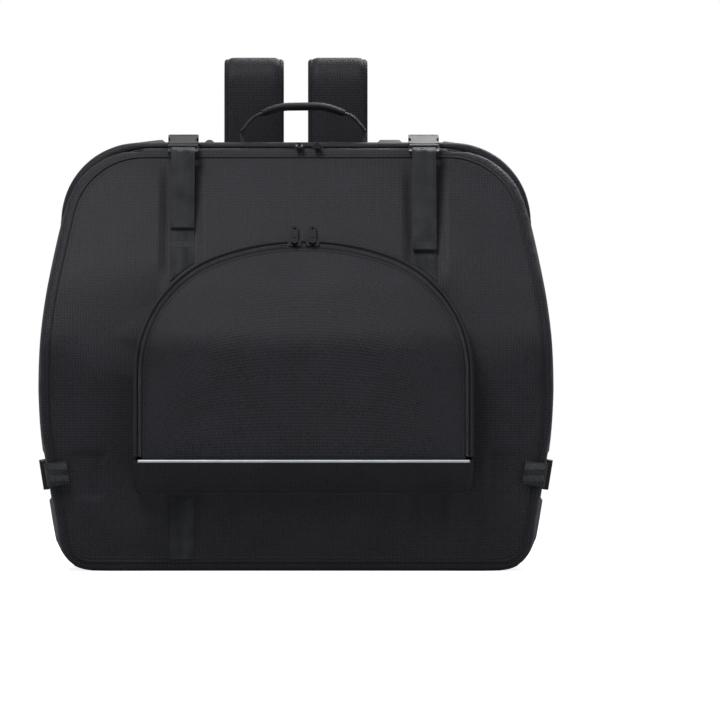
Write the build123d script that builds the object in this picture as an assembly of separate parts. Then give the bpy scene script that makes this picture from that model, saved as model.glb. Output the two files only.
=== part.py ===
from build123d import *
from math import atan2, cos, hypot, pi, sin, tan
import os

# Soft padded case for a piano accordion: two zipped halves that fold open about the base seam,
# an arched zip pocket, four side-release buckles, a carry handle and two shoulder straps.
# Millimetres, +Z up, the front faces -Y. The origin is the middle of the base fold, on the floor,
# and the closing plane of the two halves is y = 0.

# ---------------------------------------------------------------- driving sizes
# plies of the padded wall, from the outside in
fabric = 1.2
foam = 8.0
lining = 0.8
ply_gap = 0.1
soft_gap = 0.3  # between pieces of two bodies

# back half
back_height = 451.0
back_base_half = 240.0
back_side_half = 250.5
back_top_half = 248.5
back_depth = 115.0
back_edge_radius = 16.0

# front half
lid_height = 444.0
lid_base_half = 243.0
lid_low_half = 267.0
lid_side_half = 270.0
lid_top_half = 230.0
lid_base_depth = 128.0
lid_bend_depth = 142.0
lid_bend_height = 240.0
lid_crest_depth = 116.0
lid_crest_height = 300.0
lid_top_depth = 12.0
lid_bend_radius = 60.0
lid_crest_radius = 90.0
panel_seam = 10.0  # from the outline in to the seam of the front panel
piping = 2.4

# heights and radii that the two outlines share
low_height = 150.0
side_height = 245.0
base_corner_radius = 34.0
low_radius = 200.0
side_radius = 600.0
top_corner_radius = 84.0

# main zip
rim_base_half = 234.0
rim_side_half = 246.0
rim_top_half = 227.0
rim_base_height = 6.0
rim_height = 442.5
rim_setback = 6.0  # from the closing plane to the edge of each padded wall
zip_centre_gap = 0.3  # between the two coils
tape_depth = 12.0
tape = 1.2
coil_height = 1.4
coil_depth = 2.4
zip_end_height = 12.0

# features in front sit this far right of the middle of the body
feature_shift = 8.0

# pocket
pocket_half = 176.0
pocket_base = 80.0
pocket_shoulder = 300.0
pocket_peak = 361.0
pocket_shoulder_radius = 130.0
pocket_peak_radius = 265.0
pocket_corner_radius = 12.0
pocket_webbing_gap = 3.0  # round the pocket, where the sewn webbing stops
pocket_foot = 34.0  # how far the pocket stands off the panel at its lower edge
pocket_bend = 18.0  # at the bend
pocket_crest = 13.0  # at the crest
pocket_head = 8.0  # at the top of the arch
pocket_wall = 1.5
flap_hinge_height = 113.0
flap_thickness = 2.4
pocket_tape_width = 4.0
reflective_bead = 3.2
bead_overhang = 0.6  # of the reflective bead past the pocket's foot

# webbing and side-release buckles
webbing = 25.0
webbing_thickness = 1.4
buckle_width = 32.0
buckle_thickness = 9.0
socket_length = 24.0
socket_bar_length = 9.0
socket_wall = 2.4
socket_cover = 1.8  # top and bottom wall of the socket
socket_corner = 3.0
frame_thickness = 4.8  # of the bar behind the socket
frame_corner = 2.0
window_start = 7.0
window_length = 10.0
waist_cut = 2.5
ladder_length = 12.0
clip_base = 4.7
clip_thickness = 4.0
clip_corner = 2.5
shoulder_thickness = 8.4  # of the clip's grip, next to the mouth
shoulder_round = 1.6
shoulder_inset = 0.5
bar = 2.5
prong_width = 2.2
prong_length = 15.0
prong_offset = 8.3
catch = 1.3
barb_length = 2.5
webbing_play = 0.5  # beside the webbing in a slot
tongue_width = 5.0
fit_gap = 0.3
buckle_spacing = 254.0
buckle_tilt = 68.0  # degrees from vertical
buckle_overhang = 30.0  # from the back half's top edge to the mouth
buckle_clearance = 0.4
side_buckle_height = 100.0
side_buckle_lift = 6.0
side_hem = 23.0
stitch_height = 338.0
tail_ends = {"left": 357.0, "right": 334.0}
tail_stand_off = 4.5
anchor_length = 60.0
bar_lap = 4.0  # how far past the clip's shoulder webbing begins
bar_past = 3.0  # straight run beyond the last bar
socket_lap = 2.0
strap_bend = 8.0
anchor_bend = 6.0
side_bend = 3.0
stitch_lap = 6.0  # the free webbing starts this far below the stitch line
stitch_gap = 0.3
top_slope_run = 14.0  # from a top socket down to the top face
side_slope_run = 18.0  # from a side clip down to the gusset
side_anchor_run = 17.0
side_anchor_reach = 30.0  # of the side anchors past the top ones
side_anchor_lift = 1.3

# carry handle
handle_span = 130.0
handle_rise = 28.0
handle_width = 26.0
handle_thickness = 4.0
handle_y = 42.0
handle_anchor_rise = 11.0
handle_shoulder = 22.0

# shoulder straps
strap_width = 62.0
strap_thickness = 11.0
strap_middle = 45.0
strap_top = 546.0
strap_crown_width = 46.0
strap_crown_flat = 2.0
strap_draw = 3.0  # the pad comes in this far from crown to bend
strap_sweep_radius = 300.0
strap_seam_height = 435.0
strap_seam_lap = 8.0
strap_bend_height = 310.0
strap_end_height = 200.0
strap_end_reach = 42.0
yoke_height = 62.0
yoke_thickness = 3.0
yoke_margin = 6.0
yoke_corner = 8.0
yoke_drop = 1.0  # below the seam of the back panel
ladder_lock_length = 28.0
ladder_lock_thickness = 4.0
ladder_lock_corner = 3.0
lock_gap = 2.0  # below the ladder lock, where the lower webbing starts
lock_space = 1.0  # beside the middle bar
tab_height = 54.0
tab_size = 44.0
tab_flare = 12.0
tab_thickness = 2.6

# zip sliders
slider_length = 14.0
slider_width = 8.4
slider_plate = 1.6
slider_bridge = 4.2
slider_corner = 2.5
slider_skirt_inset = 3.0
bridge_length = 4.0
bridge_inset = 0.6
bridge_wall = 1.2
slider_pitch = 19.0
slider_middle = 13.0
slider_eye = 5.5
pull_length = 25.0
pull_width = 7.4
pull_thickness = 1.4
pull_frame = 1.6
pull_bar = 0.8
pull_rise = 0.8
pull_hole = 1.5
pull_hole_place = 4.0
pull_corner = 2.0
main_pull_drop = 6.0  # degrees below level
pocket_pull_rest = 170.0  # degrees over from hanging, so that it leans on the panel

# ---------------------------------------------------------------- worked-out sizes
wall = fabric + ply_gap + foam + ply_gap + lining
foam_out = fabric + ply_gap
lining_out = foam_out + foam + ply_gap
base_half = back_base_half - base_corner_radius
top_slope = (lid_crest_depth - lid_top_depth) / (lid_height - lid_crest_height)
bend_slope = (lid_bend_depth - lid_crest_depth) / (lid_crest_height - lid_bend_height)
front_lean = (lid_bend_depth - lid_base_depth) / lid_bend_height
half_depth = 2 * back_depth  # past the front of either half
arc_share = 0.995  # of a run that the arcs at its two ends may take


def lid_front(z):
    """The y of the front half's outer face at a height, with its two bends left sharp."""
    if z <= lid_bend_height:
        return -lid_base_depth - front_lean * z
    if z <= lid_crest_height:
        return -lid_bend_depth + (z - lid_bend_height) * bend_slope
    return -lid_top_depth - (lid_height - z) * top_slope


# ---------------------------------------------------------------- helpers
def front_view(face, y_start, y_end):
    """Extrude a face drawn in x and z from one depth to another."""
    return extrude(Plane.XZ.offset(-y_end) * face, y_end - y_start)


def side_view(face, x_start, x_end):
    """Extrude a face drawn in y and z from one side to another."""
    return extrude(Plane.YZ.offset(x_start) * face, x_end - x_start)


def block(x_range, y_range, z_range):
    """A box between two values on each axis."""
    size = [high - low for low, high in (x_range, y_range, z_range)]
    middle = [(high + low) / 2 for low, high in (x_range, y_range, z_range)]
    return Pos(*middle) * Box(*size)


def fitted_radii(corners):
    """The radius of each (x, z, radius) corner, less where two arcs would need more than their run."""
    spots = [Vector(x, z) for x, z, radius in corners]
    radii = [radius for x, z, radius in corners]
    nexts = spots[1:] + spots[:1]
    needs = []
    for place, spot in enumerate(spots):
        inside = (spots[place - 1] - spot).get_angle(nexts[place] - spot)
        needs.append(1 / tan(inside * pi / 360))
    for place, spot in enumerate(spots):
        after = (place + 1) % len(spots)
        room = (nexts[place] - spot).length * arc_share
        taken = needs[place] * radii[place] + needs[after] * radii[after]
        if taken > room:
            radii[place] *= room / taken
            radii[after] *= room / taken
    return radii


def rounded_face(corners):
    """A closed face from (x, z, radius) corners."""
    points = [(x, z) for x, z, radius in corners]
    return make_face(FilletPolyline(*points, radius=fitted_radii(corners), close=True))


def mirrored_outline(corners):
    """A closed outline from (half width, height, radius) corners of its right side, base first."""
    return rounded_face(corners + [(-x, z, radius) for x, z, radius in reversed(corners)])


def inset(face, amount):
    """The same face, smaller all round."""
    return offset(face, amount=-amount) if amount else face


def band(points, thickness, radius=0):
    """A strip of even thickness along a path of straight runs and arcs."""
    path = FilletPolyline(*points, radius=radius) if len(points) > 2 else Line(*points)
    return trace(path, thickness)


def ribbon(points, thickness, x_middle, width, radius=0):
    """Flat webbing that follows a path in y and z."""
    return side_view(band(points, thickness, radius), x_middle - width / 2, x_middle + width / 2)


def write(shape, name):
    """Keep one node as one file."""
    export_step(shape, f"parts/{name}.step")


def write_together(shapes, name):
    """Keep several separate solids as one node."""
    write(Compound(children=[solid for shape in shapes for solid in shape.solids()]), name)


# ---------------------------------------------------------------- outlines
def back_outline():
    return mirrored_outline([
        (back_base_half, 0, base_corner_radius),
        (back_side_half, low_height, low_radius),
        (back_side_half, side_height, side_radius),
        (back_top_half, back_height, top_corner_radius),
    ])


def lid_outline():
    return mirrored_outline([
        (lid_base_half, 0, base_corner_radius),
        (lid_low_half, low_height, low_radius),
        (lid_side_half, side_height, side_radius),
        (lid_top_half, lid_height, top_corner_radius),
    ])


def rim_outline():
    return mirrored_outline([
        (rim_base_half, rim_base_height, base_corner_radius),
        (rim_side_half, low_height, low_radius),
        (rim_side_half, side_height, side_radius),
        (rim_top_half, rim_height, top_corner_radius),
    ])


def lid_profile():
    """Side view of the front half, run on past the floor and the top, which the outline cuts."""
    below = lid_bend_height
    apex = lid_height + (lid_top_depth - rim_setback) / top_slope
    corners = [
        (-rim_setback, -below),
        (lid_front(-below), -below),
        (-lid_bend_depth, lid_bend_height),
        (-lid_crest_depth, lid_crest_height),
        (-rim_setback, apex),
    ]
    radii = [0, 0, lid_bend_radius, lid_crest_radius, 0]
    return make_face(FilletPolyline(*corners, radius=radii, close=True))


def pocket_corners():
    """Base, shoulders and peak of the pocket's arch, round from the lower left."""
    right = feature_shift + pocket_half
    left = feature_shift - pocket_half
    return [
        (left, pocket_base, pocket_corner_radius),
        (right, pocket_base, pocket_corner_radius),
        (right, pocket_shoulder, pocket_shoulder_radius),
        (feature_shift, pocket_peak, pocket_peak_radius),
        (left, pocket_shoulder, pocket_shoulder_radius),
    ]


def pocket_outline():
    return rounded_face(pocket_corners())


# ---------------------------------------------------------------- padded halves
def back_body(depth_in):
    """The back half as a solid, set in from its outer faces."""
    solid = front_view(inset(back_outline(), depth_in), rim_setback + depth_in, back_depth - depth_in)
    if depth_in > foam_out:
        return solid  # the foam's inside and the lining meet in a crease
    return fillet(solid.edges().group_by(Axis.Y)[-1], back_edge_radius - depth_in)


def lid_body(depth_in):
    """The front half as a solid, set in from its outer faces."""
    front = front_view(inset(lid_outline(), depth_in), -half_depth, -rim_setback - depth_in)
    side = side_view(inset(lid_profile(), depth_in), -lid_side_half * 2, lid_side_half * 2)
    return front & side


def mouth(outline, side):
    """What stays open at the rim of a half: the tape's rebate, then the inner walls."""
    rim = rim_outline()
    inner = rim & inset(outline, wall)
    depth = rim_setback + wall + 1
    if side > 0:
        return front_view(rim, 0, tape_depth) + front_view(inner, 0, depth)
    return front_view(rim, -tape_depth, 0) + front_view(inner, -depth, 0)


def ply(body, outline, side, outer, inner):
    """One ply of a half, between two depths, open at the rim."""
    return body(outer) - body(inner) - mouth(outline, side)


def base_plates(y_fold, y_far, outer, inner):
    """The flat middle of the base, from the fold to the panel's edge."""
    low, high = sorted((y_fold, y_far))
    return block((-base_half, base_half), (low, high), (outer, inner))


def write_half(name, body, outline, side, panel_zone, y_far):
    """Outer fabric, foam and lining of one half, cut apart at the seams."""
    fold = side * zip_centre_gap / 2
    base_zone = base_plates(0, y_far, 0, lining_out)
    layers = (("", 0, fabric, fold), ("_foam", foam_out, foam_out + foam, fold * 10))
    for suffix, outer, inner, start in layers:
        layer = ply(body, outline, side, outer, inner)
        write(layer & panel_zone, f"{name}_panel{suffix}")
        write(layer - panel_zone - base_zone, f"{name}_gusset{suffix}")
        write(base_plates(start, y_far, outer, inner), f"{name}_base{suffix}")
    write(ply(body, outline, side, lining_out, wall), f"{name}_lining")


def write_zip_side(name, side):
    """One side of the main zip: its tape and half of the coil, from base to base."""
    rim = rim_outline()
    start = side * zip_centre_gap / 2
    near, far = sorted((start, side * tape_depth))
    tape_band = front_view(rim - inset(rim, tape), near, far)
    near, far = sorted((start, start + side * coil_depth))
    coil = front_view(inset(rim, -coil_height) - rim, near, far)
    below = block((-lid_side_half, lid_side_half), (-back_depth, back_depth), (-1, zip_end_height))
    write(tape_band + coil - below, f"{name}_zip_side")


def write_halves():
    back = back_outline()
    far = back_depth - back_edge_radius
    back_zone = front_view(inset(back, back_edge_radius), far, back_depth)
    write_half("back", back_body, back, 1, back_zone, far)
    lid = lid_outline()
    lid_zone = front_view(inset(lid, panel_seam), -half_depth, -rim_setback - wall - 1)
    write_half("front", lid_body, lid, -1, lid_zone, -lid_base_depth + fabric + foam)
    write_zip_side("back", 1)
    write_zip_side("front", -1)


# ---------------------------------------------------------------- trim on the shells
def ring(outline, outer, inner):
    """The strip between two insets of an outline."""
    return inset(outline, outer) - inset(outline, inner)


def lid_skin(lift, thickness, z_start=-1, z_end=0):
    """Side view of a layer that lies on the front panel, as a closed outline."""
    top = z_end or lid_height
    bends = (z_start, lid_bend_height, lid_crest_height, top)
    heights = [z for z in bends if z_start <= z <= top]
    under = [(lid_front(z) - lift, z) for z in heights]
    over = [(lid_front(z) - lift - thickness, z) for z in reversed(heights)]
    return make_face(Polyline(*under, *over, close=True))


def write_piping():
    """The bound seams round the back panel and the front panel."""
    half = piping / 2
    back_bead = ring(back_outline(), back_edge_radius - half, back_edge_radius + half)
    write(front_view(back_bead, back_depth, back_depth + piping), "back_piping")
    lid_bead = ring(lid_outline(), panel_seam - half, panel_seam + half)
    strip = front_view(lid_bead, -half_depth, -lid_top_depth)
    write(strip & side_view(lid_skin(0, piping), -lid_side_half * 2, lid_side_half * 2), "front_piping")


def buckle_places():
    return [feature_shift - buckle_spacing / 2, feature_shift + buckle_spacing / 2]


# ---------------------------------------------------------------- pocket
def pocket_line():
    """Side view of the pocket's outer face: foot, bend and a point past the head."""
    head = pocket_peak
    return [
        (lid_front(pocket_base) - pocket_foot, flap_hinge_height),
        (-lid_bend_depth - pocket_bend, lid_bend_height),
        (-lid_crest_depth - pocket_crest, lid_crest_height),
        (lid_front(head) - pocket_head, head),
    ]


def shifted(points, depth):
    return [(y + depth, z) for y, z in points]


def pocket_layer(outer, inner):
    """A layer that follows the pocket's outer face, as wide as the case."""
    line = pocket_line()
    face = make_face(Polyline(*shifted(line, outer), *reversed(shifted(line, inner)), close=True))
    return side_view(face, -back_side_half, back_side_half)


def pocket_cut(outer, inner):
    """The strip between two insets of the pocket's outline, through the front half's depth."""
    return front_view(ring(pocket_outline(), outer, inner), -half_depth, 0)


def write_pocket():
    outline = pocket_outline()
    line = pocket_line()
    deep = shifted(line, flap_thickness + soft_gap)
    foot = (lid_front(pocket_base) - soft_gap, pocket_base)
    wall_face = make_face(Polyline(
        foot, *deep,
        (lid_front(pocket_peak) - soft_gap, pocket_peak),
        (-lid_crest_depth - soft_gap, lid_crest_height),
        (-lid_bend_depth - soft_gap, lid_bend_height),
        close=True))
    gusset = pocket_cut(0, pocket_wall) & side_view(wall_face, -back_side_half, back_side_half)
    gusset -= block((-back_side_half, back_side_half), (-half_depth, 0), (0, flap_hinge_height))
    inner_head = (line[0][0] + pocket_wall, flap_hinge_height)
    hem = [foot, line[0], inner_head, (foot[0], pocket_base + pocket_wall)]
    panel_point = (lid_front(flap_hinge_height) - soft_gap, flap_hinge_height)
    sides = make_face(Polyline(foot, line[0], panel_point, close=True))
    lower = side_view(make_face(Polyline(*hem, close=True)), -back_side_half, back_side_half)
    lower = lower & front_view(outline, -half_depth, 0)
    lower_sides = pocket_cut(0, pocket_wall) & side_view(sides, -back_side_half, back_side_half)
    write(gusset + lower + lower_sides, "pocket_gusset")

    above = block((-back_side_half, back_side_half), (-half_depth, 0),
                  (flap_hinge_height + reflective_bead + soft_gap, lid_height))
    band_end = pocket_tape_width
    layer = pocket_layer(0, flap_thickness)
    tape_layer = pocket_layer(flap_thickness / 2 - tape / 2, flap_thickness / 2 + tape / 2)
    fixed = pocket_cut(0, band_end) & tape_layer & above
    write(fixed, "pocket_zip_side")
    flap_face = front_view(inset(outline, 2 * band_end + soft_gap), -half_depth, 0)
    write(flap_face & layer & above, "pocket_flap")
    moving = pocket_cut(band_end + soft_gap, 2 * band_end + soft_gap) & tape_layer & above
    write(moving, "flap_zip_side")
    bead_y = line[0][0] - bead_overhang
    bead_z = flap_hinge_height + soft_gap
    strip = block((feature_shift - pocket_half + band_end, feature_shift + pocket_half - band_end),
                  (bead_y, bead_y + reflective_bead), (bead_z, bead_z + reflective_bead))
    write(fillet(strip.edges().filter_by(Axis.X), reflective_bead * 0.45), "reflective_piping")


# ---------------------------------------------------------------- side-release buckles
# Drawn lying flat: y runs from the clip into the socket, z is the thickness, y = 0 is the mouth.
def webbing_slot():
    """Across a slot that webbing runs through."""
    return -webbing / 2 - webbing_play, webbing / 2 + webbing_play


def through():
    """Past both faces of a buckle."""
    return -buckle_thickness, buckle_thickness


def socket_solid():
    half = buckle_width / 2
    housing = Pos(0, socket_length / 2, 0) * Box(buckle_width, socket_length, buckle_thickness)
    housing = fillet(housing.edges().filter_by(Axis.Z), socket_corner)
    inside = (socket_cover - buckle_thickness / 2, buckle_thickness / 2 - socket_cover)
    hollow = block((-half + socket_wall, half - socket_wall), (-1, socket_length - socket_wall), inside)
    window = block((-half - 1, half + 1), (window_start, window_start + window_length), inside)
    waist_radius = window_length
    reach = half + waist_radius - waist_cut
    waist = [Pos(side * reach, window_start + window_length / 2, 0)
             * Cylinder(waist_radius, buckle_thickness + 2) for side in (-1, 1)]
    across = (-frame_thickness / 2, frame_thickness / 2)
    frame = block((-half, half), (socket_length - 1, socket_length + socket_bar_length), across)
    frame = fillet(frame.edges().filter_by(Axis.Z), frame_corner)
    slot_end = socket_length + socket_bar_length - bar
    slot = block(webbing_slot(), (socket_length + 1, slot_end), through())
    return housing - hollow - window - waist[0] - waist[1] + frame - slot


def clip_solid():
    half = buckle_width / 2
    start = -fit_gap - clip_base
    length = clip_base + ladder_length
    thin = (-clip_thickness / 2, clip_thickness / 2)
    thick = (-shoulder_thickness / 2, shoulder_thickness / 2)
    plate = block((-half, half), (-fit_gap - length, -fit_gap), thin)
    plate = fillet(plate.edges().filter_by(Axis.Z), clip_corner)
    head = block((-half + shoulder_inset, half - shoulder_inset), (start, -fit_gap), thick)
    tongue = block((-tongue_width / 2, tongue_width / 2), (-fit_gap, prong_length), thin)
    solid = plate + fillet(head.edges().filter_by(Axis.X), shoulder_round) + tongue
    gap = (ladder_length - 2 * bar) / 2
    for step in (0, 1):
        top = start - step * (gap + bar)
        solid -= block(webbing_slot(), (top - gap, top), through())
    return solid


def prong_solid(side):
    """A springy arm with a barb that stands in the socket's window."""
    inner = prong_offset - prong_width / 2
    outer = prong_offset + prong_width / 2
    tip = buckle_width / 2 - socket_wall + catch
    barb = window_start + fit_gap
    points = [
        (inner, 0), (outer, 0), (outer, barb), (tip, barb), (tip, barb + barb_length),
        (outer, prong_length), (inner, prong_length),
    ]
    arm = make_face(Polyline(*[(side * x, y) for x, y in points], close=True))
    return Pos(0, 0, -clip_thickness / 2) * extrude(arm, clip_thickness, dir=(0, 0, 1))


def top_buckle_plane(x):
    """A buckle that lies over the top edge of the back half, its mouth forward of the zip."""
    tilt = buckle_tilt * pi / 180
    lift = buckle_thickness / 2 + buckle_clearance
    y = rim_setback - buckle_overhang * sin(tilt) - lift * cos(tilt)
    z = back_height - buckle_overhang * cos(tilt) + lift * sin(tilt)
    return Plane(origin=(x, y, z), x_dir=(1, 0, 0), z_dir=(0, -cos(tilt), sin(tilt)))


def side_walls():
    """Half widths of the front half, the back half and the wider of them at the side buckles."""
    share = side_buckle_height / low_height
    lid = lid_base_half + (lid_low_half - lid_base_half) * share
    back = back_base_half + (back_side_half - back_base_half) * share
    return lid, back, max(lid, back)


def side_buckle_plane(side):
    """A buckle that lies along the side of the case, its mouth at the front half's rim."""
    lean = (lid_low_half - lid_base_half) / low_height
    size = hypot(1, lean)
    normal = Vector(side / size, 0, -lean / size)
    wall_point = Vector(side * side_walls()[2], -rim_setback, side_buckle_height)
    origin = wall_point + normal * side_buckle_lift
    return Plane(origin=origin, x_dir=Vector(0, 1, 0).cross(normal), z_dir=normal)


def write_buckles():
    places = {
        "top_left": top_buckle_plane(buckle_places()[0]),
        "top_right": top_buckle_plane(buckle_places()[1]),
        "side_left": side_buckle_plane(-1),
        "side_right": side_buckle_plane(1),
    }
    for name, plane in places.items():
        write(plane * socket_solid(), f"{name}_socket")
        write(plane * clip_solid(), f"{name}_clip")
        write(plane * prong_solid(-1), f"{name}_prong_a")
        write(plane * prong_solid(1), f"{name}_prong_b")


# ---------------------------------------------------------------- webbing
def in_side_view(plane, points):
    """World (y, z) of points given along and above a buckle."""
    worlds = [plane.from_local_coords(Vector(0, along, above)) for along, above in points]
    return [(point.Y, point.Z) for point in worlds]


def lying_ribbon(plane, points):
    """Webbing drawn along and above a side buckle."""
    flat = band(points, webbing_thickness, side_bend)
    upright = Plane(origin=(-webbing / 2, 0, 0), x_dir=(0, 1, 0), z_dir=(1, 0, 0))
    return plane * extrude(upright * flat, webbing)


def strap_rests():
    """Distances above and below a buckle's middle where webbing lies against its bars."""
    under_clip = -clip_thickness / 2 - soft_gap - webbing_thickness / 2
    under_socket = -frame_thickness / 2 - soft_gap - webbing_thickness / 2
    return under_clip, under_socket


def write_front_webbing():
    """Sewn down the front panel, then free from its stitch line up to the clip."""
    under_clip, _ = strap_rests()
    skin = lid_skin(0, webbing_thickness, panel_seam + piping, stitch_height)
    pocket_zone = front_view(inset(pocket_outline(), -pocket_webbing_gap), -half_depth, 0)
    pieces = []
    for place, x in enumerate(buckle_places()):
        sewn = side_view(skin, x - webbing / 2, x + webbing / 2) - pocket_zone
        if place:
            sewn -= block((x - webbing, x + webbing), (-half_depth, 0), (-1, pocket_base))
        plane = top_buckle_plane(x)
        grip = [(-clip_base - ladder_length - bar_past, under_clip), (-clip_base - bar_lap, under_clip)]
        stitches = lid_front(stitch_height) - webbing_thickness / 2 - stitch_gap
        start = (stitches, stitch_height - stitch_lap)
        path = [start, *in_side_view(plane, grip)]
        free = ribbon(path, webbing_thickness, x, webbing, strap_bend)
        below = side_view(lid_skin(-lid_bend_depth, lid_bend_depth), x - webbing, x + webbing)
        pieces.append(sewn + (free - below))
    write_together(pieces, "front_webbing")


def write_tails():
    """The free end of each top strap, which hangs from its clip in front of the sewn webbing."""
    under_clip, _ = strap_rests()
    for (name, end_height), x in zip(tail_ends.items(), buckle_places()):
        plane = top_buckle_plane(x)
        grip = [(-clip_base - bar_lap, -under_clip), (-clip_base - ladder_length - bar_past, -under_clip)]
        end = (lid_front(end_height) - tail_stand_off, end_height)
        path = [*in_side_view(plane, grip), end]
        write(ribbon(path, webbing_thickness, x, webbing, strap_bend), f"{name}_tail")


def write_side_webbing():
    """From a hem on the front panel, round the corner and along the side to each clip."""
    under_clip, _ = strap_rests()
    lid, _, widest = side_walls()
    flat = webbing_thickness / 2 + ply_gap - side_buckle_lift - (widest - lid)
    corner = rim_setback + lid_front(side_buckle_height + webbing / 2) - webbing_thickness - piping
    grip_end = -clip_base - ladder_length - bar_lap
    path = [
        (corner, flat - side_hem), (corner, flat), (grip_end - side_slope_run, flat),
        (grip_end, under_clip), (-clip_base - bar_lap, under_clip),
    ]
    write_together([lying_ribbon(side_buckle_plane(side), path) for side in (-1, 1)], "side_webbing")


def write_anchor_webbing():
    """Webbing sewn to the back half: it holds the four sockets and the handle."""
    _, under = strap_rests()
    bar_end = socket_length + socket_bar_length
    pieces = []
    for x in buckle_places():
        grip = [(socket_length + socket_lap, under), (bar_end + bar_past, under)]
        first = in_side_view(top_buckle_plane(x), grip)
        rest = back_height + webbing_thickness / 2
        end = rim_setback + anchor_length
        path = [*first, (first[-1][0] + top_slope_run, rest), (end, rest)]
        pieces.append(ribbon(path, webbing_thickness, x, webbing, anchor_bend))
    _, back, widest = side_walls()
    rest = side_anchor_lift + webbing_thickness / 2 - side_buckle_lift - (widest - back)
    path = [
        (socket_length + socket_lap, under), (bar_end + bar_past, under),
        (bar_end + bar_past + side_anchor_run, rest), (anchor_length + side_anchor_reach, rest),
    ]
    pieces += [lying_ribbon(side_buckle_plane(side), path) for side in (-1, 1)]
    for x in handle_ends():
        half = handle_anchor_rise
        fold = make_face(Polyline((handle_y - half, back_height), (handle_y + half, back_height),
                                  (handle_y, back_height + half), close=True))
        pieces.append(side_view(fold, x - handle_thickness / 2, x + handle_thickness / 2))
    write_together(pieces, "anchor_webbing")


# ---------------------------------------------------------------- handle and shoulder straps
def handle_ends():
    return [feature_shift - handle_span / 2, feature_shift + handle_span / 2]


def write_handle():
    left, right = handle_ends()
    foot = back_height + handle_anchor_rise + soft_gap
    top = foot + handle_rise - handle_thickness / 2
    path = [(left, foot), (left + handle_shoulder, top), (right - handle_shoulder, top), (right, foot)]
    arch = band(path, handle_thickness, handle_shoulder)
    arch -= Pos(feature_shift, foot - handle_rise) * Rectangle(handle_span * 2, handle_rise * 2)
    solid = front_view(arch, handle_y - handle_width / 2, handle_y + handle_width / 2)
    write(solid, "carry_handle")


def strap_line():
    """Middle of a shoulder pad in side view: up from its seam, over, and down behind the panel."""
    near = back_depth + yoke_thickness + soft_gap + strap_thickness / 2
    crown = strap_top - strap_thickness / 2
    far = near + strap_crown_width
    return [
        (near, strap_seam_height - strap_seam_lap), (near, crown), (far, crown),
        (far - strap_draw, strap_bend_height), (back_depth + strap_end_reach, strap_end_height),
    ]


def write_shoulder_straps():
    line = strap_line()
    crown_radius = (strap_crown_width - strap_crown_flat) / 2
    radii = [crown_radius, crown_radius, strap_sweep_radius]
    path = FilletPolyline(*line, radius=radii)
    profile = trace(path, strap_thickness)
    end = Vector(*line[-1])
    down = (end - Vector(*line[-2])).normalized()
    for name, side in (("left", -1), ("right", 1)):
        x = side * strap_middle
        write(side_view(profile, x - strap_width / 2, x + strap_width / 2), f"{name}_shoulder_pad")
        y_dir = Vector(0, down.X, down.Y)
        start = end + down * ply_gap
        plane = Plane(origin=(x, start.X, start.Y), x_dir=(1, 0, 0), z_dir=Vector(1, 0, 0).cross(y_dir))
        write(plane * ladder_lock(), f"{name}_strap_adjuster")
        lock_end = end + down * (ladder_lock_length + lock_gap)
        tab = (back_depth + tab_thickness + soft_gap + webbing_thickness / 2, tab_height)
        path = [tab, (lock_end.X, lock_end.Y)]
        write(ribbon(path, webbing_thickness, x, webbing), f"{name}_strap_webbing")


def ladder_lock():
    """Three-bar adjuster at the lower end of a shoulder pad."""
    length = ladder_lock_length
    across = (-ladder_lock_thickness / 2, ladder_lock_thickness / 2)
    plate = block((-buckle_width / 2, buckle_width / 2), (0, length), across)
    plate = fillet(plate.edges().filter_by(Axis.Z), ladder_lock_corner)
    gap = (length - 3 * bar - 2 * lock_space) / 2
    for step in (0, 1):
        start = bar + step * (gap + bar + lock_space)
        plate -= block(webbing_slot(), (start, start + gap), through())
    return plate


def write_strap_anchors():
    """The sewn yoke that holds the pads, and a tab for each lower webbing."""
    low = strap_seam_height - yoke_height
    top = strap_seam_height - piping / 2 - yoke_drop
    half = strap_middle + strap_width / 2 + yoke_margin
    yoke = block((-half, half), (back_depth, back_depth + yoke_thickness), (low, top))
    pieces = [fillet(yoke.edges().filter_by(Axis.Y), yoke_corner)]
    wide, narrow = webbing / 2 + tab_flare, webbing / 2
    bottom, head = tab_height - tab_size / 2, tab_height + tab_size / 2
    for side in (-1, 1):
        x = side * strap_middle
        tab = make_face(Polyline((x - wide, bottom), (x + wide, bottom), (x + narrow, head),
                                 (x - narrow, head), close=True))
        pieces.append(front_view(tab, back_depth, back_depth + tab_thickness))
    write_together(pieces, "strap_anchors")


# ---------------------------------------------------------------- zip sliders
# Drawn lying flat on a tape: x runs along the zip and z points away from it.
def slider_solid(lift, skirt):
    """A body over the coil, skirts down its sides if it has room, and a bridge for the pull."""
    half = slider_width / 2
    floor = lift + slider_plate
    body = block((-slider_length / 2, slider_length / 2), (-half, half), (lift, floor))
    body = fillet(body.edges().filter_by(Axis.Z), slider_corner)
    if skirt:
        for side in (-1, 1):
            edges = sorted((side * half, side * (coil_depth + 2 * soft_gap)))
            reach = slider_length / 2 - slider_skirt_inset
            body += block((-reach, reach), edges, (soft_gap, lift))
    foot = half - bridge_inset
    eye = foot - bridge_wall
    posts = block((-bridge_length / 2, bridge_length / 2), (-foot, foot), (floor, floor + slider_bridge))
    top = floor + slider_bridge - bridge_wall
    return body + posts - block((-bridge_length, bridge_length), (-eye, eye), (floor, top))


def pull_solid():
    """A flat tab whose cross bar runs under the bridge; it points along -y."""
    arm = slider_eye + 1.5
    half, flat = pull_width / 2, (-pull_thickness / 2, pull_thickness / 2)
    tab = block((-half, half), (-pull_length, pull_bar), flat)
    tab -= block((pull_frame - half, half - pull_frame), (-arm, -pull_bar), through())
    tab -= Pos(0, pull_hole_place - pull_length, 0) * Cylinder(pull_hole, buckle_thickness)
    return fillet(tab.edges().filter_by(Axis.Z).group_by(Axis.Y)[0], pull_corner)


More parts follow.
